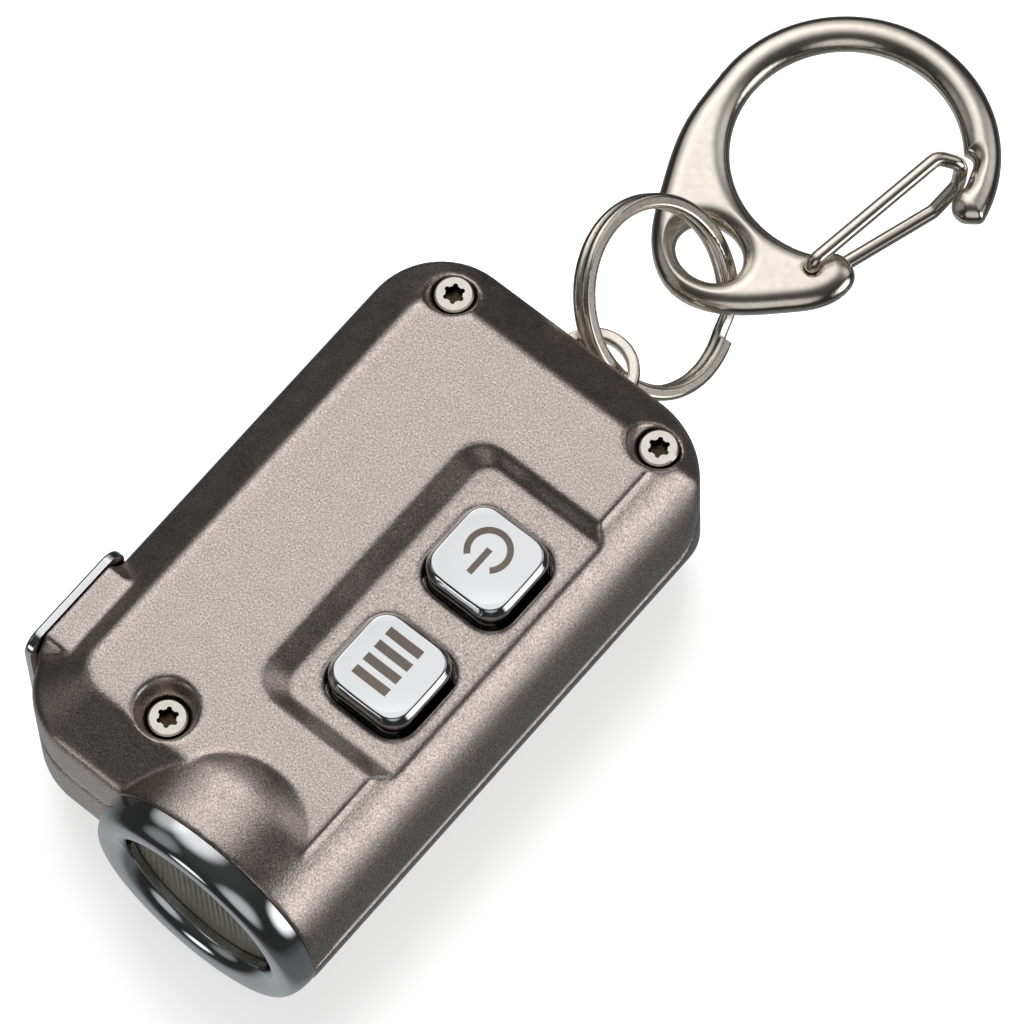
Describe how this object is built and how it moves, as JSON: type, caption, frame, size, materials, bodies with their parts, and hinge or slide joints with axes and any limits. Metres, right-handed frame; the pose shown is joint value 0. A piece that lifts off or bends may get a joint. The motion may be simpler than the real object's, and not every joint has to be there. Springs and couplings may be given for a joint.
{
  "type": "keychain flashlight",
  "caption": "Pocket flashlight in a flat two-part metal case with a side lamp, push buttons, a charging port, and a split ring and clasp for keys.",
  "frame": {"origin": "on the flat back face of the case, on the case's middle line and 18.5 mm from the lamp end of the case", "axes": "+Z out of the button face, +Y from the lamp end towards the eyelet and clasp, +X towards the lamp side"},
  "size_m": [0.0247, 0.0725, 0.0156],
  "materials": {
    "case": "bead-blasted, anodised warm grey",
    "chrome": "polished",
    "nickel": "satin nickel plating",
    "screw": "bright nickel plating",
    "gasket": "matt",
    "silicone": "matt",
    "optic": "clear moulded optic with a micro-lens front",
    "holder": "moulded",
    "plate_metal": "machined",
    "circuit": "solder mask",
    "led_ceramic": "ceramic",
    "led_dome": "clear over yellow phosphor",
    "component": "moulded",
    "ceramic": "ceramic",
    "pouch": "foil pouch",
    "foam": "open-cell foam",
    "wire_red": "silicone insulation",
    "wire_black": "silicone insulation",
    "plug_steel": "stamped",
    "black_plastic": "moulded",
    "plunger": "moulded"
  },
  "bodies": {
    "light": {"front_shell": "case", "rear_shell": "case", "seam_gasket": "gasket", "bezel": "chrome", "optic": "optic", "optic_holder": "holder", "lens_seal": "silicone", "led_board": "plate_metal", "led_emitter": "led_ceramic", "led_dome": "led_dome", "heat_spreader": "plate_metal", "power_switch": "component", "mode_switch": "component", "button_seal": "silicone", "main_board": "circuit", "controller_chip": "component", "driver_inductor": "component", "board_capacitors": "ceramic", "charge_indicator": "led_ceramic", "battery": "pouch", "foam_pad": "foam", "battery_lead_red": "wire_red", "battery_lead_black": "wire_black", "lamp_lead_red": "wire_red", "lamp_lead_black": "wire_black", "usb_receptacle": "plug_steel", "usb_tongue": "black_plastic", "port_frame": "chrome", "case_screws": "screw", "eyelet": "nickel"},
    "power_key": {"power_button": "chrome", "power_switch_plunger": "plunger"},
    "mode_key": {"mode_button": "chrome", "mode_switch_plunger": "plunger"},
    "ring": {"split_ring": "nickel"},
    "clasp": {"clasp_hook": "nickel"},
    "gate": {"clasp_gate": "nickel"}
  },
  "joints": [
    {"name": "power_press", "type": "slide", "parent": "light", "child": "power_key", "axis": [0, 0, -1], "range_m": [0, 0.00035], "stiffness_N_per_m": 4000, "springref_m": -0.0001},
    {"name": "mode_press", "type": "slide", "parent": "light", "child": "mode_key", "axis": [0, 0, -1], "range_m": [0, 0.00035], "stiffness_N_per_m": 4000, "springref_m": -0.0001},
    {"name": "ring_swing", "type": "hinge", "parent": "light", "child": "ring", "pos_m": [0.0003, 0.0226, 0.0066], "axis": [1, 0, 0], "range_deg": [-20, 20]},
    {"name": "clasp_swing", "type": "hinge", "parent": "ring", "child": "clasp", "pos_m": [-0.00007, 0.03302, 0.0039], "axis": [1, 0, 0], "range_deg": [-30, 5]},
    {"name": "gate_swing", "type": "hinge", "parent": "clasp", "child": "gate", "pos_m": [0.00551, 0.03524, 0.0039], "axis": [0, 0, 1], "range_deg": [0, 40], "stiffness_Nm_per_rad": 0.003, "springref_deg": -11.46}
  ]
}
